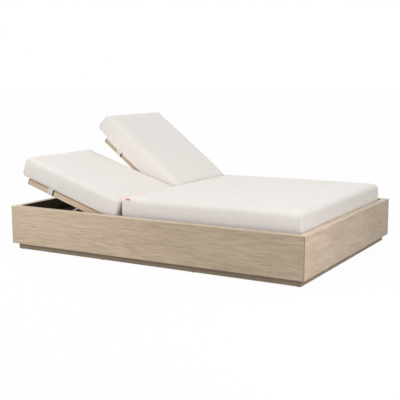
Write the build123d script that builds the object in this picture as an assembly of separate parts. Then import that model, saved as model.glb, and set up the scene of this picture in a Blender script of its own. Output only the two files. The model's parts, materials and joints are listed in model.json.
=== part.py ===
from build123d import *
import math
import os

os.makedirs("parts", exist_ok=True)

# Double chaise lounger. Millimetres and degrees. +X is the foot end, -Y the near long side,
# +Z up, and the origin lies on the floor under the middle of the base.

# Base box
base_length = 2134
base_width = 1524
base_height = 297.5
board_thickness = 45
board_ease = 4

# Plinth and floor glides
plinth_height = 42
plinth_inset = 30
plinth_thickness = 40
glide_height = 3
glide_diameter = 32
glides_per_side = 4

# Support surface, cushions and gaps between pieces that move
support_height = 251.5
running_gap = 0.3
overrun = 5

# Backrest frames, measured from the recline axis
hinge_x = -231
hinge_drop = 14
rail_height = 36
rail_width = 40
back_head_gap = 28
side_gap = 12
centre_gap = 12
back_slat_width = 60
back_slat_least_gap = 15
back_slat_thickness = 14
back_slat_housing = 10
foot_rail_start = 26

# Recline, degrees above level, as shown and at the upper stop
near_angle = 17.55
far_angle = 37.5
top_angle = 45

# Recline pivots
pin_diameter = 12
bush_wall = 3
bush_flange = 6
bracket_plate = 6
side_bracket_length = 76
side_bracket_height = 72
centre_web_height = 30
centre_flange_thickness = 5
centre_flange_width = 70
centre_flange_height = 23
pin_end = 2

# Props, their pivots and runners
prop_lead = -2.11
track_slope = 6.5
track_head_gap = 65
arm_width = 10
arm_eye = 16
arm_thickness = 6
arm_gap = 1
cross_bar_diameter = 10
cross_bar_share = 0.6
bolt_diameter = 8
bolt_depth = 25
bolt_head_diameter = 14
bolt_head_height = 3
pivot_clearance = 0.15

# Tracks for the runners
track_gap = 3
track_depth = 23
track_height = 28
track_wall = 3
track_lip = 4
track_end = 10
runner_length = 44
track_board_height = 36

# Beams, ledgers and corner blocks
hinge_beam_gap = 41
hinge_beam_width = 40
hinge_beam_height = 100
ledger_width = 30
ledger_height = 40
head_ledger_width = 50
head_ledger_height = 36
seat_beam_width = 60
seat_beam_height = 90
head_beam_drop = 8
head_beam_height = 90
corner_block_width = 45

# Seat slats
seat_slat_count = 13
seat_slat_width = 70
seat_slat_thickness = 18
seat_slat_end_gap = 2

# Screws
screw_diameter = 4
screw_head_diameter = 9
screw_head_height = 2.5
bracket_screw_length = 30
screw_edge = 12

# Cushions
seat_cushion_head_gap = 25.5
seat_cushion_foot_gap = 10
seat_cushion_side_gap = 33
seat_cushion_thickness = 151
seat_crown = 9
back_cushion_head_gap = 4.6
back_cushion_thickness = 133
back_cushion_inset = 1
back_crown = 11
end_crown = 3
side_bulge = 4
side_pull = 3
cushion_edge = 24
cushion_low_edge = 9
cushion_corner = 26

# Slide of a back cushion up its frame as the frame is raised
flat_cushion_gap = 3.3
slide_per_radian = 143

# Straps that hold the back cushions, and the blank tab on the seat cushion
strap_width = 40
strap_thickness = 2.5
strap_share = 0.672
strap_rise = 12
strap_tuck = 26
hook_tape_width = 8
hook_tape_thickness = 2
tab_length = 30
tab_height = 20
tab_thickness = 2
tab_rise = 0.5
tab_head_inset = 29
tab_side_inset = 4

# Derived places
half_length = base_length / 2
half_width = base_width / 2
inner_x = half_length - board_thickness
inner_y = half_width - board_thickness
hinge_z = support_height - hinge_drop
rail_reach = inner_x + hinge_x - back_head_gap
frame_width = inner_y - side_gap - centre_gap / 2
frame_centre = (centre_gap + frame_width) / 2
rail_inner = frame_width / 2 - rail_width
arm_outer = rail_inner - arm_gap
track_front = arm_outer + track_gap
track_back = track_front + track_depth
head_beam_half = frame_centre - track_back
rail_low = hinge_z - (rail_height - hinge_drop)
slat_start = foot_rail_start + rail_width
slat_room = rail_reach - rail_width - slat_start
back_slat_count = int((slat_room - back_slat_least_gap) // (back_slat_width + back_slat_least_gap))
track_far_end = (inner_x - head_ledger_width - track_head_gap + hinge_x) / math.cos(math.radians(track_slope))
flat_track_distance = track_far_end - track_end - runner_length / 2
prop_length = flat_track_distance / (2 * math.cos(math.radians(prop_lead + track_slope)))
prop_reach = prop_length * math.cos(math.radians(prop_lead))
prop_drop = -prop_length * math.sin(math.radians(prop_lead))
flat_cushion_start = flat_cushion_gap - seat_cushion_head_gap
back_cushion_length = inner_x + hinge_x - back_cushion_head_gap - flat_cushion_start
strap_from_foot = strap_share * back_cushion_length
hinge_beam_head = hinge_x + hinge_beam_gap
hinge_beam_foot = hinge_beam_head + hinge_beam_width
slat_seat = support_height - seat_slat_thickness
plinth_x = half_length - plinth_inset
plinth_y = half_width - plinth_inset
corner_block_top = rail_low - running_gap - head_ledger_height


def box(x0, x1, y0, y1, z0, z1):
    """Block between two corners."""
    size_x = x1 - x0
    size_y = y1 - y0
    size_z = z1 - z0
    middle = ((x0 + x1) / 2, (y0 + y1) / 2, (z0 + z1) / 2)
    return Pos(*middle) * Box(size_x, size_y, size_z)


def rod(start, direction, length, diameter):
    """Round bar from a point along a direction."""
    plane = Plane(origin=start, z_dir=direction)
    return extrude(plane * Circle(diameter / 2), length)


def save(name, pieces):
    """Write one node, a single solid or a group of separate ones."""
    solids = []
    for piece in pieces:
        solids.extend(piece.solids())
    shape = solids[0] if len(solids) == 1 else Compound(children=solids)
    shape.label = name
    export_step(shape, f"parts/{name}.step")


def screw(start, direction, length):
    """Pan-head screw: the head lies outside the start point, the shank runs into the piece."""
    back = tuple(-value for value in direction)
    head = rod(start, back, screw_head_height, screw_head_diameter)
    return head + rod(start, direction, length, screw_diameter)


# Base box


def long_board(side):
    """Side board, mitred at both ends, with eased outer and top edges."""
    outer = half_width
    points = [(-half_length, outer), (half_length, outer), (inner_x, inner_y), (-inner_x, inner_y)]
    outline = make_face(Polyline(*points, close=True))
    board = extrude(Plane.XY.offset(plinth_height) * outline, base_height - plinth_height)
    board = fillet(board.edges().filter_by(Axis.X).group_by(Axis.Y)[-1], board_ease)
    return board if side > 0 else mirror(board, Plane.XZ)


def end_board(end):
    """Head or foot board, mitred at both ends, with eased outer and top edges."""
    points = [(half_length, -half_width), (half_length, half_width), (inner_x, inner_y), (inner_x, -inner_y)]
    outline = make_face(Polyline(*points, close=True))
    board = extrude(Plane.XY.offset(plinth_height) * outline, base_height - plinth_height)
    board = fillet(board.edges().filter_by(Axis.Y).group_by(Axis.X)[-1], board_ease)
    return board if end > 0 else mirror(board, Plane.YZ)


def long_plinth(side):
    low_y = plinth_y - plinth_thickness
    board = box(-plinth_x, plinth_x, low_y, plinth_y, glide_height, plinth_height)
    return board if side > 0 else mirror(board, Plane.XZ)


def end_plinth(end):
    end_y = plinth_y - plinth_thickness
    board = box(plinth_x - plinth_thickness, plinth_x, -end_y, end_y, glide_height, plinth_height)
    return board if end > 0 else mirror(board, Plane.YZ)


def floor_glides():
    """Round pads along both long plinth boards."""
    pads = []
    reach = plinth_x - plinth_thickness / 2
    for side in (-1, 1):
        y = side * (plinth_y - plinth_thickness / 2)
        for index in range(glides_per_side):
            x = -reach + index * 2 * reach / (glides_per_side - 1)
            pads.append(rod((x, y, 0), (0, 0, 1), glide_height, glide_diameter))
    return pads


def corner_block(end, side):
    x0 = inner_x - corner_block_width
    y0 = inner_y - corner_block_width
    block = box(x0, inner_x, y0, inner_y, plinth_height, corner_block_top)
    block = block if end > 0 else mirror(block, Plane.YZ)
    return block if side > 0 else mirror(block, Plane.XZ)


def corner_screws(end, side):
    """Two screws into the end board and two into the side board, from inside a corner block."""
    screws = []
    middle_x = end * (inner_x - corner_block_width / 2)
    middle_y = side * (inner_y - corner_block_width / 2)
    face_x = end * (inner_x - corner_block_width)
    face_y = side * (inner_y - corner_block_width)
    length = corner_block_width + board_thickness / 2
    low = plinth_height + corner_block_width / 2
    high = corner_block_top - corner_block_width / 2
    for z in (low, high):
        screws.append(screw((face_x, middle_y, z), (end, 0, 0), length))
        screws.append(screw((middle_x, face_y, z + screw_edge), (0, side, 0), length))
    return screws


# Ledgers, beams and seat slats


def seat_ledger(side):
    strip = box(hinge_beam_foot, inner_x, inner_y - ledger_width, inner_y, slat_seat - ledger_height, slat_seat)
    return strip if side > 0 else mirror(strip, Plane.XZ)


def foot_ledger():
    reach = inner_y - ledger_width
    return box(inner_x - ledger_width, inner_x, -reach, reach, slat_seat - ledger_height, slat_seat)


def head_ledger():
    """Shelf on the head board that carries the frames when they lie flat."""
    top = rail_low - running_gap
    return box(-inner_x, -inner_x + head_ledger_width, -inner_y, inner_y, top - head_ledger_height, top)


def hinge_beam():
    return box(hinge_beam_head, hinge_beam_foot, -inner_y, inner_y, slat_seat - hinge_beam_height, slat_seat)


def seat_centre_beam():
    half = seat_beam_width / 2
    return box(hinge_beam_foot, inner_x - ledger_width, -half, half, slat_seat - seat_beam_height, slat_seat)


def head_centre_beam():
    """Lengthwise beam between the two frames, low enough to clear them, with a track on each face."""
    top = rail_low - head_beam_drop
    start = -inner_x + head_ledger_width
    return box(start, hinge_beam_head, -head_beam_half, head_beam_half, top - head_beam_height, top)


def seat_slats():
    slats = []
    first = hinge_beam_head
    last = inner_x - seat_slat_end_gap - seat_slat_width
    reach = inner_y - seat_slat_end_gap
    for index in range(seat_slat_count):
        x = first + index * (last - first) / (seat_slat_count - 1)
        slats.append(box(x, x + seat_slat_width, -reach, reach, slat_seat, support_height))
    return slats


# Recline pivots


def side_bracket(side):
    """Steel plate on a side board with the stub pin that carries the outer rail."""
    reach = side_bracket_length / 2
    rise = side_bracket_height / 2
    face = inner_y - bracket_plate
    plate = box(hinge_x - reach, hinge_x + reach, face, inner_y, hinge_z - rise, hinge_z + rise)
    plate = fillet(plate.edges().filter_by(Axis.Y), board_ease)
    length = side_gap - bracket_plate + rail_width + pin_end
    bracket = plate + rod((hinge_x, face, hinge_z), (0, -1, 0), length, pin_diameter)
    return bracket if side > 0 else mirror(bracket, Plane.XZ)


def side_bracket_screws(side):
    screws = []
    reach = side_bracket_length / 2 - screw_edge
    rise = side_bracket_height / 2 - screw_edge
    face = side * (inner_y - bracket_plate)
    for x in (hinge_x - reach, hinge_x + reach):
        for z in (hinge_z - rise, hinge_z + rise):
            screws.append(screw((x, face, z), (0, side, 0), bracket_screw_length))
    return screws


def centre_bracket():
    """Steel plate between the two frames, on a flange that is screwed to the hinge beam."""
    half = centre_flange_width / 2
    flange_top = slat_seat
    flange_face = hinge_beam_head - centre_flange_thickness
    flange = box(flange_face, hinge_beam_head, -half, half, flange_top - centre_flange_height, flange_top)
    rise = centre_web_height / 2
    web_end = hinge_x - rise
    web = box(web_end, flange_face, -bracket_plate / 2, bracket_plate / 2, hinge_z - rise, support_height)
    return flange + web - centre_pin()


def centre_bracket_screws():
    face = hinge_beam_head - centre_flange_thickness
    height = slat_seat - centre_flange_height / 2
    reach = centre_flange_width / 2 - screw_edge
    return [screw((face, y, height), (1, 0, 0), bracket_screw_length) for y in (-reach, reach)]


def centre_pin():
    reach = centre_gap / 2 + rail_width + pin_end
    return rod((hinge_x, -reach, hinge_z), (0, 1, 0), 2 * reach, pin_diameter)


# Backrest frames, built flat: the recline axis is the Y axis and the frame runs to -X


def frame_place(side, angle):
    return Pos(hinge_x, side * frame_centre, hinge_z) * Rot(0, angle, 0)


def rail(lateral_sign):
    """Side rail with its rounded pivot end, bush bore, bolt hole and housing for the slats."""
    low = hinge_drop - rail_height
    outer = frame_width / 2
    blank = box(-rail_reach, 0, rail_inner, outer, low, hinge_drop)
    end_round = rod((0, rail_inner, 0), (0, 1, 0), rail_width, -2 * low)
    end_round = end_round & box(low, -low, rail_inner, outer, low, hinge_drop)
    bore = rod((0, rail_inner - overrun, 0), (0, 1, 0), rail_width + 2 * overrun, pin_diameter + 2 * bush_wall)
    housing_start = -foot_rail_start - rail_width
    housing_end = -rail_reach + rail_width
    housing_low = hinge_drop - back_slat_thickness
    housing = box(housing_end, housing_start, rail_inner - overrun, rail_inner + back_slat_housing,
                  housing_low, hinge_drop + overrun)
    bolt_hole = rod((-prop_reach, rail_inner - overrun, -prop_drop), (0, 1, 0), bolt_depth + overrun, bolt_diameter)
    solid = blank + end_round - bore - housing - bolt_hole
    return solid if lateral_sign > 0 else mirror(solid, Plane.XZ)


def cross_rail(start):
    """Rail between the two side rails, its foot face at a distance from the recline axis."""
    low = hinge_drop - rail_height
    return box(-start - rail_width, -start, -rail_inner, rail_inner, low, hinge_drop)


def back_slats():
    slats = []
    gap = (slat_room - back_slat_count * back_slat_width) / (back_slat_count + 1)
    reach = rail_inner + back_slat_housing
    for index in range(back_slat_count):
        near_edge = slat_start + gap + index * (back_slat_width + gap)
        slats.append(box(-near_edge - back_slat_width, -near_edge, -reach, reach,
                         hinge_drop - back_slat_thickness, hinge_drop))
    return slats


def bush(lateral_sign, flange_thickness):
    """Plain bush in a rail's bore; its flange fills the gap outside the rail."""
    outer = frame_width / 2
    body = rod((0, rail_inner, 0), (0, 1, 0), rail_width, pin_diameter + 2 * bush_wall)
    flange = rod((0, outer, 0), (0, 1, 0), flange_thickness, pin_diameter + 2 * bush_wall + 2 * bush_flange)
    bore = rod((0, rail_inner - overrun, 0), (0, 1, 0), frame_width, pin_diameter + 2 * running_gap)
    solid = body + flange - bore
    return solid if lateral_sign > 0 else mirror(solid, Plane.XZ)


def pivot_bushes(side):
    outer_flange = side_gap - bracket_plate - running_gap
    inner_flange = (centre_gap - bracket_plate) / 2 - running_gap
    return [bush(side, outer_flange), bush(-side, inner_flange)]


def prop_bolt(lateral_sign):
    """Shoulder bolt through an arm's eye into a rail."""
    face = arm_outer - arm_thickness - pivot_clearance
    head = rod((-prop_reach, face - bolt_head_height, -prop_drop), (0, 1, 0), bolt_head_height, bolt_head_diameter)
    shank = rod((-prop_reach, face, -prop_drop), (0, 1, 0), rail_inner + bolt_depth - face, bolt_diameter)
    solid = head + shank
    return solid if lateral_sign > 0 else mirror(solid, Plane.XZ)


# Props: the upper pivot is the origin and the arms run to -X


def prop_place(side, angle):
    drop_angle = angle + prop_lead + 2 * track_slope
    along = prop_length * math.cos(math.radians(angle + prop_lead))
    rise = prop_length * math.sin(math.radians(angle + prop_lead))
    return Pos(hinge_x - along, side * frame_centre, hinge_z + rise) * Rot(0, -drop_angle, 0)


def prop_arm(lateral_sign):
    """Slim flat bar with a wider round eye at each end."""
    inner = arm_outer - arm_thickness
    bar = box(-prop_length, 0, inner, arm_outer, -arm_width / 2, arm_width / 2)
    eye_diameter = bolt_diameter + 2 * pivot_clearance
    for x in (0, -prop_length):
        bar = bar + rod((x, inner, 0), (0, 1, 0), arm_thickness, arm_eye)
    for x in (0, -prop_length):
        bar = bar - rod((x, inner - overrun, 0), (0, 1, 0), arm_thickness + 2 * overrun, eye_diameter)
    return bar if lateral_sign > 0 else mirror(bar, Plane.XZ)


def prop_cross_bar():
    reach = arm_outer - arm_thickness
    x = -cross_bar_share * prop_length
    return rod((x, -reach, 0), (0, 1, 0), 2 * reach, cross_bar_diameter)


# Runners and tracks: the origin is the lower prop pivot and the track runs along X


def track_distance(angle):
    """From the recline axis to the lower prop pivot, along the track."""
    return 2 * prop_length * math.cos(math.radians(angle + prop_lead + track_slope))


def track_place(side, distance):
    along = distance * math.cos(math.radians(track_slope))
    fall = distance * math.sin(math.radians(track_slope))
    return Pos(hinge_x - along, side * frame_centre, hinge_z - fall) * Rot(0, -track_slope, 0)


def runner(lateral_sign):
    """Shoe that slides in a track, with the pin that carries the lower end of an arm."""
    room = track_height - 2 * track_wall
    half = room / 2 - running_gap
    low_y = track_front + track_wall + running_gap
    high_y = track_back - track_wall - running_gap
    shoe = box(-runner_length / 2, runner_length / 2, low_y, high_y, -half, half)
    slot = room / 2 - track_lip - running_gap
    neck = box(-runner_length / 2, runner_length / 2, track_front, low_y, -slot, slot)
    face = arm_outer - arm_thickness - pivot_clearance
    pin = rod((0, face, 0), (0, 1, 0), low_y - face, bolt_diameter)
    head = rod((0, face - bolt_head_height, 0), (0, 1, 0), bolt_head_height, bolt_head_diameter)
    solid = shoe + neck + pin + head
    return solid if lateral_sign > 0 else mirror(solid, Plane.XZ)


def track(lateral_sign):
    """Lipped steel channel, open towards the arm."""
    near_end = track_distance(top_angle) - runner_length / 2 - track_end
    half = track_height / 2
    room = half - track_wall
    channel = box(-track_far_end, -near_end, track_front, track_back, -half, half)
    hollow = box(-track_far_end - overrun, -near_end + overrun, track_front + track_wall, track_back - track_wall,
                 -room, room)
    slot = box(-track_far_end - overrun, -near_end + overrun, track_front - overrun, track_front + 2 * track_wall,
               track_lip - room, room - track_lip)
    solid = channel - hollow - slot
    return solid if lateral_sign > 0 else mirror(solid, Plane.XZ)


def track_board(side):
    """Sloping wooden batten between a side board and its track."""
    near_end = track_distance(top_angle) - runner_length / 2 - track_end
    half = track_board_height / 2
    outer = inner_y - frame_centre
    batten = box(-track_far_end, -near_end, track_back, outer, -half, half)
    return batten if side > 0 else mirror(batten, Plane.XZ)


# Cushions: a loft of three sections, bottom flat, sides bowed and the top crowned


def cushion_section(x, half, thickness, crown):
    low_a = (x, -half, 0)
    low_b = (x, half, 0)
    high_b = (x, half, thickness)
    high_a = (x, -half, thickness)
    bottom = Line(low_a, low_b)
    right = ThreePointArc(low_b, (x, half + side_bulge, thickness / 2), high_b)
    top = ThreePointArc(high_b, (x, 0, thickness + crown), high_a)
    left = ThreePointArc(high_a, (x, -half - side_bulge, thickness / 2), low_a)
    return make_face([bottom, right, top, left])


def cushion(length, width, thickness, crown):
    """Boxed cushion from x = 0 to -length, centred on Y, standing on z = 0."""
    half = width / 2 - side_bulge
    sections = [
        cushion_section(0, half, thickness, end_crown),
        cushion_section(-length / 2, half - side_pull, thickness, crown),
        cushion_section(-length, half, thickness, end_crown),
    ]
    body = loft(sections)
    uprights = [e for e in body.edges() if abs(e.center().Z - thickness / 2) < thickness / 4]
    body = fillet(uprights, cushion_corner)
    rim = [e for e in body.edges() if e.center().Z > thickness - cushion_low_edge]
    body = fillet(rim, cushion_edge)
    hem = body.edges().group_by(Axis.Z)[0]
    return fillet(hem, cushion_low_edge)


def seat_cushion():
    start = inner_x - seat_cushion_foot_gap
    end = hinge_x + seat_cushion_head_gap
    width = 2 * (inner_y - seat_cushion_side_gap)
    body = cushion(start - end, width, seat_cushion_thickness, seat_crown)
    return Pos(start, 0, support_height + running_gap) * body


def cushion_start(angle):
    """From the recline axis to the foot end of a back cushion, along its frame."""
    return flat_cushion_start + slide_per_radian * math.radians(angle)


def back_cushion(angle):
    """Back cushion on its frame, in the frame's own place."""
    width = frame_width - 2 * back_cushion_inset
    body = cushion(back_cushion_length, width, back_cushion_thickness, back_crown)
    return Pos(-cushion_start(angle), 0, hinge_drop + running_gap) * body


def band(near_edge, width, thickness):
    """Strap round the underside of a frame, its ends folded in at the cushion's lower seam."""
    inside = frame_width / 2 + running_gap
    outside = inside + thickness
    low = hinge_drop - rail_height - running_gap
    top = hinge_drop + strap_rise
    edge = -near_edge
    hoop = box(edge - width, edge, -outside, outside, low - thickness, top)
    hoop = hoop - box(edge - width - overrun, edge + overrun, -inside, inside, low, top + overrun)
    fold_low = hinge_drop + running_gap
    for side in (-1, 1):
        ends = sorted((side * (outside - strap_tuck), side * outside))
        hoop = hoop + box(edge - width, edge, ends[0], ends[1], fold_low, fold_low + thickness)
    return hoop


def back_strap(angle, cushion_body):
    near_edge = cushion_start(angle) + strap_from_foot - strap_width / 2
    return band(near_edge, strap_width, strap_thickness) - cushion_body


def hook_tape(angle, cushion_body):
    near_edge = cushion_start(angle) + strap_from_foot - strap_width / 2 - hook_tape_width
    return band(near_edge, hook_tape_width, hook_tape_thickness) - cushion_body


def seat_tab(cushion_body):
    """Blank fabric tab sewn into the seat cushion's upper seam, near its head corner."""
    start = hinge_x + seat_cushion_head_gap + tab_head_inset
    edge = -(inner_y - seat_cushion_side_gap) + tab_side_inset
    top = support_height + seat_cushion_thickness + tab_rise
    tab = box(start, start + tab_length, edge, edge + tab_thickness, top - tab_height, top)
    return tab - cushion_body


# Write the base
screws = []
for end in (-1, 1):
    for side in (-1, 1):
        screws.extend(corner_screws(end, side))
for side in (-1, 1):
    screws.extend(side_bracket_screws(side))
screws.extend(centre_bracket_screws())
save("base_screws", screws)
save("near_side_board", [long_board(-1) - screws])
save("far_side_board", [long_board(1) - screws])
save("head_board", [end_board(-1) - screws])
save("foot_board", [end_board(1) - screws])
save("near_plinth_board", [long_plinth(-1)])
save("far_plinth_board", [long_plinth(1)])
save("head_plinth_board", [end_plinth(-1)])
save("foot_plinth_board", [end_plinth(1)])
save("floor_glides", floor_glides())
blocks = [corner_block(end, side) - screws for end in (-1, 1) for side in (-1, 1)]
save("corner_blocks", blocks)
save("near_seat_ledger", [seat_ledger(-1)])
save("far_seat_ledger", [seat_ledger(1)])
save("foot_ledger", [foot_ledger()])
save("head_ledger", [head_ledger()])
save("hinge_beam", [hinge_beam() - screws])
save("seat_centre_beam", [seat_centre_beam()])
save("head_centre_beam", [head_centre_beam()])
save("seat_slats", seat_slats())
save("centre_pivot_bracket", [centre_bracket() - screws])
save("centre_pivot_pin", [centre_pin()])

# Write the two backrests with their props and cushions
for name, side, angle in (("near", -1, near_angle), ("far", 1, far_angle)):
    save(f"{name}_pivot_bracket", [side_bracket(side) - screws])
    save(f"{name}_track_board", [track_place(side, 0) * track_board(side)])
    save(f"{name}_outer_track", [track_place(side, 0) * track(side)])
    save(f"{name}_inner_track", [track_place(side, 0) * track(-side)])
    place = frame_place(side, angle)
    save(f"{name}_back_outer_rail", [place * rail(side)])
    save(f"{name}_back_inner_rail", [place * rail(-side)])
    save(f"{name}_back_head_rail", [place * cross_rail(rail_reach - rail_width)])
    save(f"{name}_back_foot_rail", [place * cross_rail(foot_rail_start)])
    save(f"{name}_back_slats", [place * slat for slat in back_slats()])
    save(f"{name}_pivot_bushes", [place * piece for piece in pivot_bushes(side)])
    save(f"{name}_prop_bolts", [place * prop_bolt(sign) for sign in (-1, 1)])
    prop = prop_place(side, angle)
    save(f"{name}_prop_outer_arm", [prop * prop_arm(side)])
    save(f"{name}_prop_inner_arm", [prop * prop_arm(-side)])
    save(f"{name}_prop_cross_bar", [prop * prop_cross_bar()])
    shoe_place = track_place(side, track_distance(angle))
    save(f"{name}_prop_runners", [shoe_place * runner(sign) for sign in (-1, 1)])
    cushion_body = back_cushion(angle)
    save(f"{name}_back_cushion", [place * cushion_body])
    save(f"{name}_cushion_strap", [place * back_strap(angle, cushion_body)])
    save(f"{name}_strap_hook_tape", [place * hook_tape(angle, cushion_body)])

# Write the seat cushion
seat_body = seat_cushion()
save("seat_cushion", [seat_body])
save("seat_cushion_tab", [seat_tab(seat_body)])
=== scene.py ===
import bmesh
import bpy
import json
import math
import numpy as np
from mathutils import Matrix, Vector, noise


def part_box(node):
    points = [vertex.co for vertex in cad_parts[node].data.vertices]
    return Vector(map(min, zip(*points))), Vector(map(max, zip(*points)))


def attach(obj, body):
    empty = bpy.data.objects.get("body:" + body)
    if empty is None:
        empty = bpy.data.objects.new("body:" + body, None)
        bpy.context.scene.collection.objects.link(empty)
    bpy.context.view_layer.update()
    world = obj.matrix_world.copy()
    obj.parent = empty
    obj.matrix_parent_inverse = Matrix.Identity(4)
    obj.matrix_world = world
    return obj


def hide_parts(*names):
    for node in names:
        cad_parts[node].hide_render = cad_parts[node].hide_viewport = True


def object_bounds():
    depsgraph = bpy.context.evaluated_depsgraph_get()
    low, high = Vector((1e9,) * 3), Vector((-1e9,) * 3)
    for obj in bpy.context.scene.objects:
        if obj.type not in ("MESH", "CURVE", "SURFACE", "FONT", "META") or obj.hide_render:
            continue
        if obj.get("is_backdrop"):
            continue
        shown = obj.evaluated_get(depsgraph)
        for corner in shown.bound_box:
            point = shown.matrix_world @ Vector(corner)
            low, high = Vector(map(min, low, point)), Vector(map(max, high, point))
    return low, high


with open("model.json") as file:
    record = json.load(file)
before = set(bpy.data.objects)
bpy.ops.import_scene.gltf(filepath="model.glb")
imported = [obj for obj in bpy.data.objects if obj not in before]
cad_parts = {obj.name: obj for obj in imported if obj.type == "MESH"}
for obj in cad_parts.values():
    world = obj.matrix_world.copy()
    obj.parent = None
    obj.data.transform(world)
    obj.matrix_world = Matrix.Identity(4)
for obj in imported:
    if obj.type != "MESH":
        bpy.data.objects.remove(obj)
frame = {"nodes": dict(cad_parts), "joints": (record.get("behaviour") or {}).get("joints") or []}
cad_low, cad_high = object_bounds()
nodes = frame["nodes"]
joints = {joint["name"]: joint for joint in frame["joints"]}
scene = bpy.context.scene


# The box of the lounger: four thick boards of pale washed timber, mitred and glued at the corners.
# The timber is brushed, so the grain lies open in fine lines, and a thin grey wash sits in the pores.
class Shade:
    """A shader value. Sums and products of it add their Math nodes."""

    def __init__(self, tree, socket):
        self.tree = tree
        self.socket = socket

    def math(self, operation, *others):
        made = self.tree.nodes.new("ShaderNodeMath")
        made.operation = operation
        for slot, value in zip(made.inputs, (self, *others)):
            if isinstance(value, Shade):
                self.tree.links.new(value.socket, slot)
            else:
                slot.default_value = value
        return Shade(self.tree, made.outputs[0])

    def __add__(self, other):
        return self.math("ADD", other)

    def __sub__(self, other):
        return self.math("SUBTRACT", other)

    def __rsub__(self, other):
        return self.math("MULTIPLY", -1).math("ADD", other)

    def __mul__(self, other):
        return self.math("MULTIPLY", other)

    def above(self, low, high):
        """0 up to low, 1 from high, and smooth between."""
        made = self.tree.nodes.new("ShaderNodeMapRange")
        made.interpolation_type = "SMOOTHSTEP"
        self.tree.links.new(self.socket, made.inputs["Value"])
        made.inputs["From Min"].default_value = low
        made.inputs["From Max"].default_value = high
        return Shade(self.tree, made.outputs["Result"])

    __radd__ = __add__
    __rmul__ = __mul__


class Finish:
    """A material under construction: its tree, its shader, and the one method that makes its nodes."""

    def __init__(self, name, roughness, metallic=0.0, sheen=0.0):
        self.material = bpy.data.materials.new(name)
        self.material.use_nodes = True
        self.tree = self.material.node_tree
        self.tree.nodes.clear()
        output = self.tree.nodes.new("ShaderNodeOutputMaterial")
        self.shader = self.tree.nodes.new("ShaderNodeBsdfPrincipled")
        self.tree.links.new(self.shader.outputs[0], output.inputs["Surface"])
        self.shader.inputs["Roughness"].default_value = roughness
        self.shader.inputs["Metallic"].default_value = metallic
        self.shader.inputs["Sheen Weight"].default_value = sheen
        self.shader.inputs["Sheen Roughness"].default_value = 0.5

    def node(self, kind, settings=None, inputs=None, out=0):
        made = self.tree.nodes.new(kind)
        for key, value in (settings or {}).items():
            setattr(made, key, value)
        for key, value in (inputs or {}).items():
            self.feed(made.inputs[key], value)
        return Shade(self.tree, made.outputs[out])

    def feed(self, socket, value):
        if isinstance(value, Shade):
            self.tree.links.new(value.socket, socket)
        else:
            socket.default_value = value

    def place(self, size, centre=(0, 0, 0), turn=0.0):
        """Pattern coordinates: the piece's own, turned level, with one unit as long as the feature size."""
        start = self.node("ShaderNodeTexCoord", out="Object")
        return self.node("ShaderNodeMapping", {"vector_type": "TEXTURE"},
                         {"Vector": start, "Location": centre, "Rotation": (0, turn, 0), "Scale": size})

    def split(self, vector):
        """The three coordinates of a vector."""
        made = self.node("ShaderNodeSeparateXYZ", None, {0: vector})
        return [Shade(self.tree, socket) for socket in made.socket.node.outputs]

    def noise(self, where, detail=2.0, roughness=0.5):
        return self.node("ShaderNodeTexNoise", None,
                         {"Vector": where, "Scale": 1.0, "Detail": detail, "Roughness": roughness}, "Fac")

    def blend(self, share, first, second, kind="MIX"):
        return self.node("ShaderNodeMix", {"data_type": "RGBA", "blend_type": kind},
                         {0: share, 6: first, 7: second}, 2)

    def bump(self, height, distance, strength=1.0):
        made = self.node("ShaderNodeBump", None,
                         {"Height": height, "Distance": distance, "Strength": strength}, "Normal")
        self.feed(self.shader.inputs["Normal"], made)


def colour(red, green, blue):
    """A colour as it shows on a screen, 0 to 255, turned into the shader's linear one."""
    shown = [level / 255 for level in (red, green, blue)]
    linear = [c / 12.92 if c <= 0.04045 else ((c + 0.055) / 1.055) ** 2.4 for c in shown]
    return (*linear, 1.0)


def grain(size, lengthwise):
    """A feature size (along the grain, across, through) put on the axes of a board."""
    along, across, through = size
    return (along, across, through) if lengthwise == "X" else (across, along, through)


wood_pale = colour(217, 197, 172)
wood_deep = colour(175, 154, 128)
wood_pore = colour(140, 119, 96)
wood_seam = colour(118, 101, 84)
# A paler colour for the top edge of the box: a painted highlight where the eased edge catches the light.
wood_rim_highlight = colour(232, 218, 204)
inner_face_dark = colour(66, 46, 22)
box_length, box_width = (high - low for high, low in zip(cad_high[:2], cad_low[:2]))
box_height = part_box("near_side_board")[1].z
board_thickness = 0.045
rim_ease = 0.004
# Painted shade: each box board grows darker towards one end, where the light falls off along it.
board_falloff_shade = 0.20
falloff_along, falloff_across = (-0.5, 1.2), (-0.9, 0.9)
mitre_line = 0.004
mitre_share, rim_highlight_share = 0.8, 0.2
inner_dark_from, inner_dark_to = 0.0004, 0.0010
fibre_size = (0.070, 0.0030, 0.0030)
streak_size = (0.130, 0.0100, 0.0100)
patch_size = (0.380, 0.0800, 0.0800)
pore_size = (0.030, 0.0016, 0.0016)
streak_share, fibre_share, patch_share, pore_share = 0.55, 0.25, 0.20, 0.35
grain_depth = 0.0006


def washed_timber(name, lengthwise, centre=(0, 0, 0), turn=0.0, tint=(1, 1, 1)):
    finish = Finish(name, roughness=0.62)
    fibres = finish.noise(finish.place(grain(fibre_size, lengthwise), centre, turn), 3)
    streaks = finish.noise(finish.place(grain(streak_size, lengthwise), centre, turn), 4, 0.62)
    patches = finish.noise(finish.place(grain(patch_size, lengthwise), centre, turn), 2)
    pores = finish.noise(finish.place(grain(pore_size, lengthwise), centre, turn), 1)
    depth = streaks.above(0.30, 0.72) * streak_share + fibres.above(0.30, 0.70) * fibre_share
    depth = depth + patches.above(0.3, 0.7) * patch_share
    timber = finish.blend(depth, wood_pale, wood_deep)
    timber = finish.blend(pores.above(0.62, 0.72) * pore_share, timber, wood_pore)
    timber = finish.blend(1.0, timber, (*tint, 1.0), "MULTIPLY")
    finish.feed(finish.shader.inputs["Roughness"], fibres * 0.16 + 0.54)
    finish.bump(fibres * 0.6 + pores.above(0.60, 0.74) * -0.5 + streaks * 0.3, grain_depth, 0.5)
    return finish, timber


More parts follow.
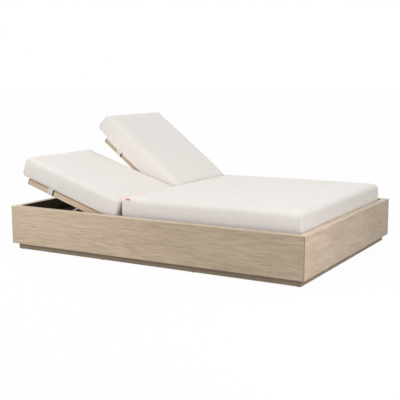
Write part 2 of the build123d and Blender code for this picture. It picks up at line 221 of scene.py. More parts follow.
def box_board(name, lengthwise, tint):
    """Timber for a board: a painted highlight along the rim, the mitre's glue line, painted shade darkening
    it towards one end, and dark brown on the inner faces.
    """
    finish, timber = washed_timber(name, lengthwise, tint=tint)
    along, across, up = finish.split(finish.node("ShaderNodeTexCoord", out="Object"))
    x, y = along.math("ABSOLUTE"), across.math("ABSOLUTE")
    corner = (x.above(box_length / 2 - mitre_line, box_length / 2 - mitre_line / 2)
              * y.above(box_width / 2 - mitre_line, box_width / 2 - mitre_line / 2))
    # Painted highlight on the top few millimetres of each board.
    rim = up.above(box_height - rim_ease - 0.001, box_height - rim_ease / 2)
    inner_x, inner_y = box_length / 2 - board_thickness, box_width / 2 - board_thickness
    # The inner faces of the boards are coloured dark brown.
    inside = 1 - x.above(inner_x + inner_dark_from, inner_x + inner_dark_to)
    inside = inside * (1 - y.above(inner_y + inner_dark_from, inner_y + inner_dark_to))
    # Painted shade along the board, darker towards its +x end for side boards and its +y end for end boards.
    deeper = along.above(*falloff_along) if lengthwise == "X" else across.above(*falloff_across)
    timber = finish.blend(deeper * board_falloff_shade, timber, (0, 0, 0, 1))
    timber = finish.blend(rim * rim_highlight_share, timber, wood_rim_highlight)
    timber = finish.blend(corner * mitre_share, timber, wood_seam)
    finish.feed(finish.shader.inputs["Base Color"], finish.blend(inside, timber, inner_face_dark))
    return finish.material


def paint(material, *names):
    """Give CAD nodes their finish."""
    for name in names:
        mesh = nodes[name].data
        mesh.materials.clear()
        mesh.materials.append(material)


paint(box_board("washed_timber_lengthwise", "X", (1.14, 1.14, 1.14)), "near_side_board", "far_side_board")
paint(box_board("washed_timber_crosswise", "Y", (1.28, 1.29, 1.35)), "head_board", "foot_board")


# The plinth: four boards set back under the box, of the same timber darkened as painted shade under the box,
# and the round nylon glides under them. The boards butt at the corners and are nailed up into the box.
# The plinth tint darkens the timber: painted shade for the recess under the overhanging box.
plinth_shade_tint = (0.55, 0.53, 0.51)
for name, lengthwise in (("near", "X"), ("far", "X"), ("head", "Y"), ("foot", "Y")):
    finish, timber = washed_timber(f"{name}_plinth_shaded_timber", lengthwise, tint=plinth_shade_tint)
    finish.feed(finish.shader.inputs["Base Color"], timber)
    paint(finish.material, f"{name}_plinth_board")

nylon = Finish("black_nylon", roughness=0.55)
speckle = nylon.noise(nylon.place((0.002, 0.002, 0.002)), 3)
nylon.feed(nylon.shader.inputs["Base Color"], nylon.blend(speckle, colour(30, 30, 31), colour(46, 46, 47)))
nylon.bump(speckle, 0.0002, 0.4)
paint(nylon.material, "floor_glides", "near_pivot_bushes", "far_pivot_bushes", "near_prop_runners",
      "far_prop_runners")


# Inside the box: ledgers, beams, blocks and the track battens, of plain sawn timber coloured near black,
# which makes the inside look black from above. They are glued and screwed to the boards.
def inner_timber(name, lengthwise):
    finish = Finish(name, roughness=0.7)
    lines = finish.noise(finish.place(grain((0.25, 0.006, 0.006), lengthwise)), 4, 0.6)
    saw_marks = finish.noise(finish.place(grain((0.003, 0.05, 0.05), lengthwise)), 1)
    shade = finish.blend(lines.above(0.3, 0.7), colour(38, 26, 14), colour(22, 14, 7))
    finish.feed(finish.shader.inputs["Base Color"], shade)
    finish.bump(lines * 0.7 + saw_marks * 0.3, 0.0008, 0.5)
    return finish.material


inner_lengthwise = inner_timber("dark_timber_lengthwise", "X")
inner_crosswise = inner_timber("dark_timber_crosswise", "Y")
paint(inner_lengthwise, "near_seat_ledger", "far_seat_ledger", "seat_centre_beam", "head_centre_beam",
      "near_track_board", "far_track_board", "corner_blocks")
paint(inner_crosswise, "foot_ledger", "head_ledger", "hinge_beam")


# The slats that carry the cushions: flat boards with eased edges, all alike, laid across the box under
# the seat and housed in the side rails of the backrests. One tree of nodes lays out each row.
def slat_row_tree():
    tree = bpy.data.node_groups.new("slat_row", "GeometryNodeTree")
    face = tree.interface
    face.new_socket("Geometry", in_out="OUTPUT", socket_type="NodeSocketGeometry")
    for name, kind in (("Count", "Int"), ("First", "Vector"), ("Step", "Vector"), ("Length", "Float"),
                       ("Width", "Float"), ("Thickness", "Float"), ("Ease", "Float"), ("Turn", "Rotation"),
                       ("Place", "Vector"), ("Timber", "Material")):
        face.new_socket(name, in_out="INPUT", socket_type="NodeSocket" + kind)
    given = tree.nodes.new("NodeGroupInput").outputs

    def add(kind, settings=None, **inputs):
        made = tree.nodes.new("GeometryNode" + kind if not kind.startswith(("Shader", "Function")) else kind)
        for key, value in (settings or {}).items():
            setattr(made, key, value)
        for key, value in inputs.items():
            slot = made.inputs[key.replace("_", " ")]
            if isinstance(value, bpy.types.NodeSocket):
                tree.links.new(value, slot)
            else:
                slot.default_value = value
        return made

    half = add("ShaderNodeMath", {"operation": "MULTIPLY"})
    tree.links.new(given["Length"], half.inputs[0])
    half.inputs[1].default_value = 0.5
    minus = add("ShaderNodeMath", {"operation": "MULTIPLY"})
    tree.links.new(given["Length"], minus.inputs[0])
    minus.inputs[1].default_value = -0.5
    start = add("ShaderNodeCombineXYZ", Y=minus.outputs[0])
    end = add("ShaderNodeCombineXYZ", Y=half.outputs[0])
    line = add("CurvePrimitiveLine", Start=start.outputs[0], End=end.outputs[0])
    outline = add("CurvePrimitiveQuadrilateral", Width=given["Width"], Height=given["Thickness"])
    eased = add("FilletCurve", {"mode": "POLY"}, Curve=outline.outputs[0], Count=3, Radius=given["Ease"])
    slat = add("CurveToMesh", Curve=line.outputs[0], Profile_Curve=eased.outputs[0], Fill_Caps=True)
    row = add("MeshLine", Count=given["Count"], Start_Location=given["First"], Offset=given["Step"])
    laid = add("InstanceOnPoints", Points=row.outputs[0], Instance=slat.outputs[0])
    real = add("RealizeInstances", Geometry=laid.outputs[0])
    turned = add("Transform", Geometry=real.outputs[0], Translation=given["Place"], Rotation=given["Turn"])
    done = add("SetMaterial", Geometry=turned.outputs[0], Material=given["Timber"])
    tree.links.new(done.outputs[0], tree.nodes.new("NodeGroupOutput").inputs[0])
    return tree


def from_nodes(name, tree, **values):
    """Run a tree of nodes with its inputs set, and keep the result as a plain mesh."""
    piece = bpy.data.objects.new(name, bpy.data.meshes.new(name))
    scene.collection.objects.link(piece)
    modifier = piece.modifiers.new("nodes", "NODES")
    modifier.node_group = tree
    for item in tree.interface.items_tree:
        if item.in_out == "INPUT" and item.name in values:
            modifier[item.identifier] = values[item.name]
    graph = bpy.context.evaluated_depsgraph_get()
    mesh = bpy.data.meshes.new_from_object(piece.evaluated_get(graph))
    piece.modifiers.clear()
    piece.data = mesh
    mesh.name = name
    return piece


slat_tree = slat_row_tree()
slat_ease = 0.003
seat_slat_count = 13
seat_slat_width = 0.070
low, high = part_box("seat_slats")
step = (high.x - low.x - seat_slat_width) / (seat_slat_count - 1)
seat_slats = from_nodes("seat_slat_row", slat_tree, Count=seat_slat_count, Length=high.y - low.y,
                        First=(low.x + seat_slat_width / 2, 0, (low.z + high.z) / 2), Step=(step, 0, 0),
                        Width=seat_slat_width, Thickness=high.z - low.z, Ease=slat_ease,
                        Timber=inner_crosswise)
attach(seat_slats, "base")
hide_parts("seat_slats")


# Pivots, tracks and screws: zinc-plated steel, bent or turned, with the fine drawn lines of the sheet.
# The plates are screwed to the side boards and to the hinge beam.
steel = Finish("zinc_plated_steel", roughness=0.38, metallic=0.9)
drawn = steel.noise(steel.place((0.08, 0.0015, 0.0015)), 3)
cloud = steel.noise(steel.place((0.02, 0.02, 0.02)), 2)
zinc_colour = steel.blend(cloud, colour(176, 178, 178), colour(150, 152, 154))
steel.feed(steel.shader.inputs["Base Color"], zinc_colour)
steel.feed(steel.shader.inputs["Roughness"], drawn * 0.2 + 0.28)
steel.bump(drawn, 0.0001, 0.3)
paint(steel.material, "base_screws", "centre_pivot_bracket", "centre_pivot_pin", "near_pivot_bracket",
      "far_pivot_bracket", "near_outer_track", "near_inner_track", "far_outer_track", "far_inner_track",
      "near_prop_bolts", "far_prop_bolts")


# The backrests: a frame of side, head and foot rails in the same washed timber, with slats housed in
# the side rails. Each turns on its pivots. The head ends of the side rails are painted dark as shade, a band
# along the tops of the rails is painted shadow under the cushions, and the far rails are painted darker as
# shade.
hinge = {side: Vector(joints[f"{side}_recline"]["pos_m"]) for side in ("near", "far")}
recline = {side: -math.radians(joints[f"{side}_recline"]["range_deg"][0]) for side in ("near", "far")}
rail_reach = 0.763
rail_top = 0.014
frame_half = 0.3495
head_end_shade, head_end_fade = 0.005, 0.0005
back_slat_count = 8
back_slat_width = 0.060
back_slat_thickness = 0.014
back_slat_length = 0.639
slats_from, slats_to = 0.066, 0.723
rail_end_shade = colour(84, 80, 78)
# The far rails are tinted darker than the near ones: painted shade from the near cushion above them.
rail_tint_and_shade = {"near": (1.15, 1.12, 1.10), "far": (0.98, 0.95, 0.94)}
# A darker band along the top of each rail: painted shadow under the cushion above it.
shaded_edge, edge_fade, edge_share = 0.005, 0.001, 0.35
rail_top_shadow = colour(112, 96, 80)

for side in ("near", "far"):
    for lengthwise, members in (("X", ("outer_rail", "inner_rail")), ("Y", ("head_rail", "foot_rail"))):
        finish, timber = washed_timber(f"{side}_rail_timber_{lengthwise}", lengthwise, hinge[side],
                                       recline[side], rail_tint_and_shade[side])
        along, across, up = finish.split(finish.place((1, 1, 1), hinge[side], recline[side]))
        # Painted shadow along the top of the rail.
        edge = up.above(rail_top - shaded_edge - edge_fade, rail_top - shaded_edge + edge_fade)
        timber = finish.blend(edge * edge_share, timber, rail_top_shadow)
        if lengthwise == "X":
            # Painted shade: the last few millimetres at the head end of each side rail are dark, as the end's
            # eased edge faces away from the light.
            end = (along * -1).above(rail_reach - head_end_shade, rail_reach - head_end_shade + head_end_fade)
            timber = finish.blend(end, timber, rail_end_shade)
        finish.feed(finish.shader.inputs["Base Color"], timber)
        paint(finish.material, *(f"{side}_back_{member}" for member in members))
    gap = (slats_to - slats_from - back_slat_count * back_slat_width) / (back_slat_count + 1)
    pitch = back_slat_width + gap
    first = (-slats_from - gap - back_slat_width / 2, 0, rail_top - back_slat_thickness / 2)
    row = from_nodes(f"{side}_back_slat_row", slat_tree, Count=back_slat_count, Length=back_slat_length,
                     First=first, Step=(-pitch, 0, 0), Width=back_slat_width, Thickness=back_slat_thickness,
                     Ease=slat_ease, Turn=(0, recline[side], 0), Place=hinge[side], Timber=inner_crosswise)
    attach(row, f"{side}_backrest")
    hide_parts(f"{side}_back_slats")


# The props: flat steel bars with a cross bar, powder coated in cream, which pivot on the backrest and
# slide in the tracks at their lower ends.
cream = Finish("cream_powder_coat", roughness=0.45)
orange_peel = cream.noise(cream.place((0.0015, 0.0015, 0.0015)), 2)
peel_colour = cream.blend(orange_peel, colour(236, 230, 216), colour(226, 219, 203))
cream.feed(cream.shader.inputs["Base Color"], peel_colour)
cream.bump(orange_peel, 0.0001, 0.4)
for side in ("near", "far"):
    paint(cream.material, f"{side}_prop_outer_arm", f"{side}_prop_inner_arm", f"{side}_prop_cross_bar")


# The cushions: foam slabs in boxed covers of off-white woven cloth. Each cover is a top, a bottom and a
# boxing strip, sewn with plain seams, and the filling pushes the panels out between the seams.
thread = 0.0016
slub_size = (0.0050, 0.110)
fine_size = (0.0018, 0.040)
wear_size = 0.25
weave_depth = 0.0005


def woven(name, light, dark):
    """Plain weave in the cloth's own coordinates, in metres, with the uneven threads of a linen look."""
    finish = Finish(name, roughness=0.92, sheen=0.15)
    cloth = finish.node("ShaderNodeUVMap", {"uv_map": "cloth"})

    def scaled(size, shift=0.0):
        return finish.node("ShaderNodeMapping", {"vector_type": "TEXTURE"},
                           {"Vector": cloth, "Location": (shift, shift, 0), "Scale": size})

    across, along, level = finish.split(scaled((thread / math.pi, thread / math.pi, 1)))
    warp, weft = across.math("SINE"), along.math("SINE")
    over = (warp * weft).above(-0.2, 0.2)
    height = warp.math("ABSOLUTE") * over + weft.math("ABSOLUTE") * (1 - over)
    slub_up = finish.noise(scaled((*slub_size, 1), 0.31), 2, 0.6).above(0.50, 0.78)
    slub_across = finish.noise(scaled((*slub_size[::-1], 1), 0.77), 2, 0.6).above(0.52, 0.80)
    fine_up = finish.noise(scaled((*fine_size, 1), 0.13), 1).above(0.45, 0.75)
    fine_across = finish.noise(scaled((*fine_size[::-1], 1), 0.57), 1).above(0.45, 0.75)
    wear = finish.noise(scaled((wear_size, wear_size, 1)), 3)
    uneven = slub_up * 0.36 + slub_across * 0.20 + fine_up * 0.20 + fine_across * 0.16 + wear * 0.10
    finish.feed(finish.shader.inputs["Base Color"], finish.blend(uneven, light, dark))
    finish.bump(height * 0.5 + slub_up * 0.5 + slub_across * 0.4 + fine_up * 0.3, weave_depth, 0.5)
    return finish.material


linen = woven("off_white_linen", colour(243, 238, 233), colour(216, 207, 196))
tiny = 1e-6
seam_pinch = 0.0012
end_reach = 0.10
lean_curve = 1.5
hang_from, hang_fade = 0.06, 0.02
side_clear, under_clear = 0.0042, 0.0030
edge_shares = (0.0, 0.14, 0.30, 0.48, 0.70, 1.0)
side_rows = 5
unevenness = 0.0011
fold_size = 0.12


def smooth(share):
    share = min(max(share, 0.0), 1.0)
    return share * share * (3 - 2 * share)


def cuts(length, rows, first_reach, last_reach):
    """Places of the mesh lines along one side: close together at the rounded seams, even between."""
    even = np.linspace(first_reach, length - last_reach, rows + 1)
    first = [first_reach * share for share in edge_shares[:-1]]
    last = [length - last_reach * share for share in reversed(edge_shares[:-1])]
    return np.concatenate([first, even, last])


def arc(radius, angle):
    """How far in and how far down a point of a rounded edge lies, at an angle up from its side."""
    return radius * (1 - math.cos(math.radians(angle))), radius * (1 - math.sin(math.radians(angle)))


def rounded(point, size, upper, lower, upright):
    """A point of a plain block moved onto the block whose upper, lower and upright edges are rounded."""
    half = np.array(size[:2]) / 2
    plan = point[:2] - half
    inset = min(half - abs(plan))
    high = point[2] > size[2] / 2
    radius = upper if high else lower
    depth = size[2] - point[2] if high else point[2]
    if inset < radius and depth < radius:
        angle = 45 + 45 * inset / radius if inset > 0 else 45 * (1 - depth / radius)
        inner, depth = arc(radius, angle)
        plan = plan * (half - inner) / (half - inset)
        inset = inner
    left = upright - inset
    gaps = half - inset - abs(plan)
    reach = max(gaps)
    if left > 0 and min(gaps) < 1e-9 and reach < left:
        across, along = arc(left, 45 * (1 - reach / left))
        moved = np.where(gaps < 1e-9, across, along) if reach > 1e-9 else np.array([across, along])
        plan = np.sign(plan) * (half - inset - moved)
    return np.array([*plan, size[2] - depth if high else depth])


def edge_radii(point, length, make):
    """The upper and lower edge radii at a point, and how near it is to the head end, 0 to 1."""
    near_foot = smooth(1 - point[0] / end_reach)
    near_head = smooth(1 - (length - point[0]) / end_reach)
    upper = make["upper"] + (make["foot_upper"] - make["upper"]) * near_foot
    upper += (make["head_upper"] - make["upper"]) * near_head
    lower = make["lower"] + (make["head_lower"] - make["lower"]) * near_head
    lower += (make["foot_lower"] - make["lower"]) * near_foot
    return upper, lower, near_head


def pinched(spot, size, upper, lower):
    """A point of a seam, drawn in by the thread."""
    length, width, thickness = size
    outward = spot - np.clip(spot, [-length / 2 + upper, -width / 2 + upper, lower],
                             [length / 2 - upper, width / 2 - upper, thickness - upper])
    return spot - outward / max(np.linalg.norm(outward), tiny) * seam_pinch


def filled(spot, size, make, near_head):
    """A point moved out by the filling: a crowned top, bulging sides, and a head end that leans back."""
    length, width, thickness = size
    along, up = 2 * spot[0] / length, max(2 * spot[2] / thickness - 1, 0)
    spot[2] += up * (make["bow"] * (1 - along ** 4) + make["tilt"] * (1 + along) / 2)
    fullness = 4 * spot[2] / thickness * (1 - spot[2] / thickness)
    if fullness > 0:
        spot[0] *= 1 + 2 * make["end_bulge"] * fullness / length
        spot[1] *= 1 + 2 * make["bulge"] * fullness / width
    spot[0] += length / 2 - make["lean"] * near_head * (max(spot[2], 0) / thickness) ** lean_curve
    return spot


def hung(spot, point, size, make):
    """A point of the sides, let down over the rails by as much as the cushion hangs there."""
    width, thickness = size[1:]
    hang = make["hang"] * smooth((point[0] - hang_from) / hang_from)
    hang *= smooth((make["held_to"] - point[0]) / hang_fade)
    from_side = width / 2 - abs(point[1] - width / 2)
    under = point[2] < tiny
    if hang > 0 and from_side < tiny and point[2] < thickness / 2:
        share = 1 - point[2] / (thickness / 2)
        spot[2] -= (hang + spot[2]) * share if under else hang * share ** 1.5
        out = max(frame_half + side_clear - abs(spot[1]), 0) * share
        spot[1] = math.copysign(abs(spot[1]) + out, spot[1])
    elif hang > 0 and under and from_side < edge_shares[1] * max(make["upper"], make["foot_upper"]) + tiny:
        spot[1] = math.copysign(frame_half + under_clear, spot[1])
    return spot


def cushion_block(name, size, make, place):
    """A slab with rounded seams, foot end at 0, centred across and standing on 0, put in place."""
    length, width, thickness = size
    cell = make["cell"]
    upper_reach = max(make["upper"], make["foot_upper"])
    lower_reach = max(make["lower"], make["head_lower"])
    lines = [cuts(length, round(length / cell), upper_reach, upper_reach),
             cuts(width, round(width / cell), upper_reach, upper_reach),
             cuts(thickness, side_rows, lower_reach, upper_reach)]
    last = [len(line) - 1 for line in lines]
    mesh = bmesh.new()
    cloth = mesh.loops.layers.uv.new("cloth")
    made, flat = {}, {}

    def corner(key):
        if key in made:
            return made[key]
        point = np.array([line[i] for line, i in zip(lines, key)])
        upper, lower, near_head = edge_radii(point, length, make)
        spot = rounded(point, size, upper, lower, make["upright"])
        if sum(i in (0, end) for i, end in zip(key, last)) >= 2:
            spot = pinched(spot, size, upper, lower)
        spot = hung(filled(spot, size, make, near_head), point, size, make)
        made[key] = mesh.verts.new(place @ Vector(spot))
        flat[made[key]] = point
        return made[key]

    for axis in range(3):
        first, second = [a for a in range(3) if a != axis]
        for end in (0, last[axis]):
            for i in range(last[first]):
                for j in range(last[second]):
                    keys = []
                    for di, dj in ((0, 0), (1, 0), (1, 1), (0, 1)):
                        key = [0, 0, 0]
                        key[axis], key[first], key[second] = end, i + di, j + dj
                        keys.append(tuple(key))
                    face = mesh.faces.new([corner(key) for key in keys])
                    face.smooth = True
                    for loop, key in zip(face.loops, keys):
                        loop[cloth].uv = (lines[first][key[first]], lines[second][key[second]])
    bmesh.ops.recalc_face_normals(mesh, faces=mesh.faces)
    mesh.verts.index_update()
    rest = np.zeros((len(mesh.verts), 3))
    for vertex, point in flat.items():
        rest[vertex.index] = point
    data = bpy.data.meshes.new(name)
    mesh.to_mesh(data)
    mesh.free()
    piece = bpy.data.objects.new(name, data)
    scene.collection.objects.link(piece)
    return piece, rest


pressure = 4.0
cover_mass, cover_stretch, cover_shear, cover_bend = 0.4, 40, 10, 2
swell_steps = 20
solver_quality = 5
top_swell = 0.005
side_swell = 0.002
seam_swell = 0.001
swell_reach = 0.090


def swell(piece, rest, size):
    """Let the filling push the cover out: cloth under pressure, bottom held, then a limit on each move."""
    held = piece.vertex_groups.new(name="held")
    held.add([int(i) for i in np.nonzero(rest[:, 2] <= tiny)[0]], 1.0, "REPLACE")
    before = np.array([v.co for v in piece.data.vertices])
    modifier = piece.modifiers.new("filling", "CLOTH")
    cloth = modifier.settings
    cloth.quality = solver_quality
    cloth.mass = cover_mass
    cloth.tension_stiffness = cloth.compression_stiffness = cover_stretch
    cloth.shear_stiffness = cover_shear
    cloth.bending_stiffness = cover_bend
    cloth.use_pressure = True
    cloth.uniform_pressure_force = pressure
    cloth.vertex_group_mass = "held"
    cloth.effector_weights.gravity = 0
    modifier.collision_settings.use_self_collision = False
    modifier.point_cache.frame_start = 1
    modifier.point_cache.frame_end = swell_steps
    for step in range(1, swell_steps + 1):
        scene.frame_set(step)
    graph = bpy.context.evaluated_depsgraph_get()
    after = np.array([v.co for v in piece.evaluated_get(graph).data.vertices])
    piece.modifiers.clear()
    piece.vertex_groups.clear()
    scene.frame_set(1)
    move = after - before
    distance = np.linalg.norm(move, axis=1, keepdims=True)
    from_edges = np.sort(np.minimum(rest, np.array(size) - rest), axis=1)[:, 1:2]
    share = np.clip(from_edges / swell_reach, 0, 1)
    most = np.where(rest[:, 2:3] >= size[2] - tiny, top_swell, side_swell)
    limit = seam_swell + (most - seam_swell) * share * (2 - share)
    move *= limit * np.tanh(distance / limit) / np.maximum(distance, 1e-9)
    piece.data.vertices.foreach_set("co", (before + move).astype(np.float32).ravel())
    piece.data.update()


def settle(piece, rest):
    """Low folds and hollows, where the filling lies unevenly under the cover."""
    normals = [vertex.normal.copy() for vertex in piece.data.vertices]
    for vertex, normal, point in zip(piece.data.vertices, normals, rest):
        if point[2] > tiny:
            where = Vector(point) / fold_size
            vertex.co += normal * (noise.noise(where) + 0.5 * noise.noise(where * 2.3)) * unevenness
    piece.data.update()


def finished(piece, levels):
    """Smooth with subdivision, if asked, and keep the result of all modifiers as a plain mesh."""
    if levels:
        modifier = piece.modifiers.new("smooth", "SUBSURF")
        modifier.levels = modifier.render_levels = levels
    graph = bpy.context.evaluated_depsgraph_get()
    mesh = bpy.data.meshes.new_from_object(piece.evaluated_get(graph))
    piece.modifiers.clear()
    piece.data = mesh
    return piece


def cushion(name, size, make, place, node, body):
    piece, rest = cushion_block(name, size, make, place)
    swell(piece, rest, size)
    settle(piece, rest)
    finished(piece, 1)
    piece.data.materials.append(linen)
    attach(piece, body)
    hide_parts(node)
    return piece


seat_from, seat_to = -0.2074, 1.0148
seat_half = 0.6800
seat_low, seat_thickness = 0.2518, 0.1540
seat_make = {"cell": 0.016, "upper": 0.036, "foot_upper": 0.020, "head_upper": 0.036,
             "lower": 0.009, "foot_lower": 0.009, "head_lower": 0.009, "upright": 0.009,
             "bulge": 0.008, "end_bulge": 0.002, "bow": 0.004, "tilt": 0.007, "lean": 0.0,
             "held_to": seat_to - seat_from, "hang": 0.0}
place = Matrix.Translation((seat_from, 0, seat_low))
cushion("seat_cushion_cover", (seat_to - seat_from, 2 * seat_half, seat_thickness), seat_make, place,
        "seat_cushion", "base")

flat_start = -0.0222
slide_per_radian = 0.143
back_length = 0.8086
back_half = 0.3440
back_low = 0.0143
end_gap = 0.0008
back_make = {"near": {"thickness": 0.1355, "foot_upper": 0.022, "bow": 0.0, "tilt": 0.0, "foot_shift": 0.003,
                      "lean": 0.005, "hang": 0.0},
             "far": {"thickness": 0.132, "foot_upper": 0.040, "bow": 0.007, "tilt": 0.0, "foot_shift": 0.0015,
                     "lean": 0.014, "hang": 0.011}}
for side in ("near", "far"):
    foot_shift = back_make[side]["foot_shift"]
    start = flat_start + slide_per_radian * recline[side] + foot_shift
    turned = Matrix.Translation(hinge[side]) @ Matrix.Rotation(recline[side], 4, "Y")
    place = turned @ Matrix.Translation((-start, 0, back_low)) @ Matrix.Rotation(math.pi, 4, "Z")
    make = {"cell": 0.013, "upper": 0.032, "head_upper": 0.018,
            "lower": 0.012, "foot_lower": 0.005, "head_lower": 0.022, "upright": 0.011,
            "bulge": 0.008, "end_bulge": 0.001, "held_to": rail_reach + 0.004 - start,
            **back_make[side]}
    size = (back_length - foot_shift - end_gap, 2 * back_half, make["thickness"])
    cushion(f"{side}_back_cushion_cover", size, make, place, f"{side}_back_cushion", f"{side}_cushion")


# The straps: pale webbing sewn into the lower seams of each back cushion, which passes under the frame,
# and beside it the black hook tape that holds it closed, its black partly painted shadow in the gap at the
# rail.
def strap_finish(name, light, dark, rib):
    finish = Finish(name, roughness=0.85, sheen=0.1)
    cloth = finish.node("ShaderNodeUVMap", {"uv_map": "cloth"})
    place = finish.node("ShaderNodeMapping", {"vector_type": "TEXTURE"},
                        {"Vector": cloth, "Scale": (rib / math.pi, rib / math.pi, 1)})
    across, along, level = finish.split(place)
    ribs = across.math("SINE").math("ABSOLUTE")
    threads = along.math("SINE").math("ABSOLUTE")
    uneven = finish.noise(place, 2)
    finish.feed(finish.shader.inputs["Base Color"], finish.blend(uneven * 0.6 + ribs * 0.3, dark, light))
    finish.bump(ribs * 0.6 + threads * 0.4, 0.0006, 0.7)
    return finish.material


webbing = strap_finish("pale_webbing", colour(238, 233, 226), colour(206, 199, 189), 0.003)
# The hook tape's black is partly painted shadow: the dark gap where the strap stands off the rail.
hook_tape = strap_finish("black_tape_and_gap_shadow", colour(30, 27, 25), colour(8, 7, 6), 0.0018)
strap_clear = 0.0003
frame_low = -0.022
strap_tuck = 0.022
strap_bend = 0.004
bend_steps = 5


def strap_line(thickness):
    """Middle line of a strap from one tucked end round the frame to the other, across and up."""
    out = frame_half + strap_clear + thickness / 2
    low = frame_low - strap_clear - thickness / 2
    top = rail_top + strap_clear + thickness / 2
    half = [(0.0, low), (out * 0.5, low)]
    for step in range(bend_steps + 1):
        angle = math.pi / 2 * step / bend_steps
        half.append((out - strap_bend * (1 - math.sin(angle)), low + strap_bend * (1 - math.cos(angle))))
    bend = thickness * 0.8
    for step in range(bend_steps + 1):
        angle = math.pi / 2 * step / bend_steps
        half.append((out - bend + bend * math.cos(angle), top - bend + bend * math.sin(angle)))
    half.append((out - strap_tuck, top))
    return [(-y, z) for y, z in reversed(half[1:])] + half


def band(name, line, start, width, thickness, place, material):
    """A flat band whose width runs along the frame from a start, laid round a line across and up."""
    line = [Vector((0, y, z)) for y, z in line]
    mesh = bmesh.new()
    cloth = mesh.loops.layers.uv.new("cloth")
    columns = 6
    rows, reach = [], 0.0
    for index, point in enumerate(line):
        reach += (point - line[max(index - 1, 0)]).length
        row = [place @ Vector((-start - width * c / columns, point.y, point.z)) for c in range(columns + 1)]
        rows.append(([mesh.verts.new(p) for p in row], reach))
    for (first, low), (second, high) in zip(rows, rows[1:]):
        for c in range(columns):
            face = mesh.faces.new((first[c], first[c + 1], second[c + 1], second[c]))
            face.smooth = True
            for loop, (u, v) in zip(face.loops, ((c, low), (c + 1, low), (c + 1, high), (c, high))):
                loop[cloth].uv = (width * u / columns, v)
    bmesh.ops.recalc_face_normals(mesh, faces=mesh.faces)
    data = bpy.data.meshes.new(name)
    mesh.to_mesh(data)
    mesh.free()
    piece = bpy.data.objects.new(name, data)
    scene.collection.objects.link(piece)
    wall = piece.modifiers.new("thickness", "SOLIDIFY")
    wall.thickness = thickness
    wall.offset = 0
    ease = piece.modifiers.new("selvedge", "BEVEL")
    ease.width = thickness * 0.3
    ease.segments = 2
    ease.limit_method = "ANGLE"
    finished(piece, 0)
    piece.data.materials.append(material)
    return piece


strap_from_foot = 0.5434
strap_width, strap_thickness = 0.040, 0.0024
tape_width, tape_thickness = 0.010, 0.0020
for side in ("near", "far"):
    near_edge = flat_start + slide_per_radian * recline[side] + strap_from_foot - strap_width / 2
    turned = Matrix.Translation(hinge[side]) @ Matrix.Rotation(recline[side], 4, "Y")
    for start, width, thickness, material, kind, node in (
            (near_edge, strap_width, strap_thickness, webbing, "webbing", "cushion_strap"),
            (near_edge - tape_width, tape_width, tape_thickness, hook_tape, "hook_tape", "strap_hook_tape")):
        piece = band(f"{side}_strap_{kind}", strap_line(thickness), start, width, thickness, turned, material)
        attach(piece, f"{side}_cushion")
        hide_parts(f"{side}_{node}")


# The tab: a short piece of coral ribbon, blank, folded double and caught in the upper seam of the seat
# cushion near its head corner.
coral = strap_finish("coral_ribbon", colour(255, 140, 165), colour(244, 116, 145), 0.0008)
tab_start, tab_width = 0.1465, 0.030
tab_foot, tab_top = 0.3920, 0.4027
tab_front, tab_back = -0.6800, -0.6788
tab_ribbon, tab_steps = 0.0004, 6
fold = (tab_back - tab_front) / 2
tab_line = [(tab_front, tab_foot), (tab_front, (tab_foot + tab_top) / 2)]
for step in range(tab_steps + 1):
    angle = math.pi * step / tab_steps
    across = (tab_front + tab_back) / 2 - fold * math.cos(angle)
    tab_line.append((across, tab_top - fold + fold * math.sin(angle)))
tab_line.append((tab_back, tab_foot))
tab = band("seat_cushion_ribbon_tab", tab_line, tab_start, tab_width, tab_ribbon, Matrix.Identity(4),
           coral)
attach(tab, "base")
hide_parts("seat_cushion_tab")


# The studio: a white floor and surroundings, soft lamps from the left and right, and the camera.
def stage_floor():
    half = 40.0
    mesh = bpy.data.meshes.new("floor")
    corners = [(-half, -half, 0), (half, -half, 0), (half, half, 0), (-half, half, 0)]
    mesh.from_pydata(corners, [], [(0, 1, 2, 3)])
    floor = bpy.data.objects.new("floor", mesh)
    scene.collection.objects.link(floor)
    finish = Finish("white_floor", roughness=0.9)
    path = finish.node("ShaderNodeLightPath")
    seen = Shade(finish.tree, path.socket.node.outputs["Is Camera Ray"])
    pale = finish.blend(seen, (0.35, 0.35, 0.35, 1), (0.95, 0.95, 0.95, 1))
    finish.feed(finish.shader.inputs["Base Color"], pale)
    glossy = Shade(finish.tree, path.socket.node.outputs["Is Glossy Ray"])
    through = Shade(finish.tree, path.socket.node.outputs["Is Transmission Ray"])
    white = finish.node("ShaderNodeEmission", None, {"Color": (1, 1, 1, 1), "Strength": 1.0})
    shown = seen.math("MAXIMUM", glossy).math("MAXIMUM", through) * 0.95
    mixed = finish.node("ShaderNodeMixShader", None,
                        {0: shown, 1: Shade(finish.tree, finish.shader.outputs[0]), 2: white})
    output = next(n for n in finish.tree.nodes if n.type == "OUTPUT_MATERIAL")
    finish.tree.links.new(mixed.socket, output.inputs["Surface"])
    mesh.materials.append(finish.material)
    floor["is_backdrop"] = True


def lamp(name, place, target, size, power):
    data = bpy.data.lights.new(name, "AREA")
    data.shape = "DISK"
    data.size = size
    data.energy = power
    made = bpy.data.objects.new(name, data)
    scene.collection.objects.link(made)
    made.location = place
    made.rotation_euler = (Vector(target) - Vector(place)).to_track_quat("-Z", "Y").to_euler()


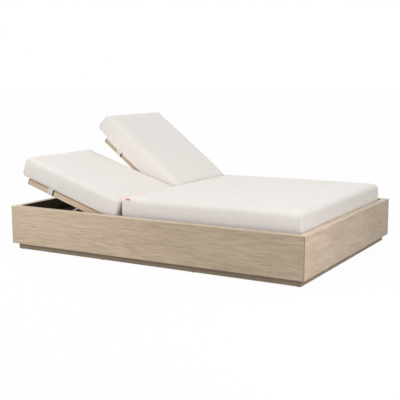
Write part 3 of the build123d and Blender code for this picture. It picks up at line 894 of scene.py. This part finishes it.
def surroundings(strength):
    world = bpy.data.worlds.new("studio")
    scene.world = world
    world.use_nodes = True
    tree = world.node_tree
    tree.nodes.clear()
    path = tree.nodes.new("ShaderNodeLightPath")
    lit = tree.nodes.new("ShaderNodeBackground")
    lit.inputs["Color"].default_value = (1, 1, 1, 1)
    lit.inputs["Strength"].default_value = strength
    white = tree.nodes.new("ShaderNodeBackground")
    white.inputs["Color"].default_value = (1, 1, 1, 1)
    mix = tree.nodes.new("ShaderNodeMixShader")
    output = tree.nodes.new("ShaderNodeOutputWorld")
    seen = Shade(tree, path.outputs["Is Camera Ray"]).math(
        "MAXIMUM", Shade(tree, path.outputs["Is Glossy Ray"])).math(
        "MAXIMUM", Shade(tree, path.outputs["Is Transmission Ray"]))
    tree.links.new(seen.socket, mix.inputs[0])
    tree.links.new(lit.outputs[0], mix.inputs[1])
    tree.links.new(white.outputs[0], mix.inputs[2])
    tree.links.new(mix.outputs[0], output.inputs[0])


def camera(place, azimuth, elevation, roll, lens):
    data = bpy.data.cameras.new("camera")
    data.lens = lens
    data.sensor_width = 36.0
    made = bpy.data.objects.new("camera", data)
    scene.collection.objects.link(made)
    back = Vector((math.sin(azimuth) * math.cos(elevation), -math.cos(azimuth) * math.cos(elevation),
                   math.sin(elevation)))
    right = Vector((math.cos(azimuth), math.sin(azimuth), 0))
    up = back.cross(right)
    tilted_right = right * math.cos(roll) + up * math.sin(roll)
    tilted_up = up * math.cos(roll) - right * math.sin(roll)
    turned = Matrix((tilted_right, tilted_up, back)).transposed().to_4x4()
    made.matrix_world = Matrix.Translation(place) @ turned
    scene.camera = made


stage_floor()
surroundings(0.76)
middle = (0.0, 0.0, 0.3)
lamp("overhead_lamp", (0.0, 0.0, 5.0), middle, 4.0, 30)
lamp("left_lamp", (-3.0, -4.0, 2.0), middle, 2.5, 27)
lamp("near_left_lamp", (-2.0, -2.6, 1.6), (-0.8, 0.0, 0.2), 1.6, 12)
lamp("foot_lamp", (2.6, -1.5, 1.0), (1.0, -0.4, 0.2), 1.0, 11)
camera_place = (2.7112, -4.7194, 1.1686)
azimuth, elevation, roll = (math.radians(angle) for angle in (30.1886, 8.9359, -0.2375))
camera(camera_place, azimuth, elevation, roll, 71.693)
scene.view_settings.view_transform = "Standard"

low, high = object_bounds()
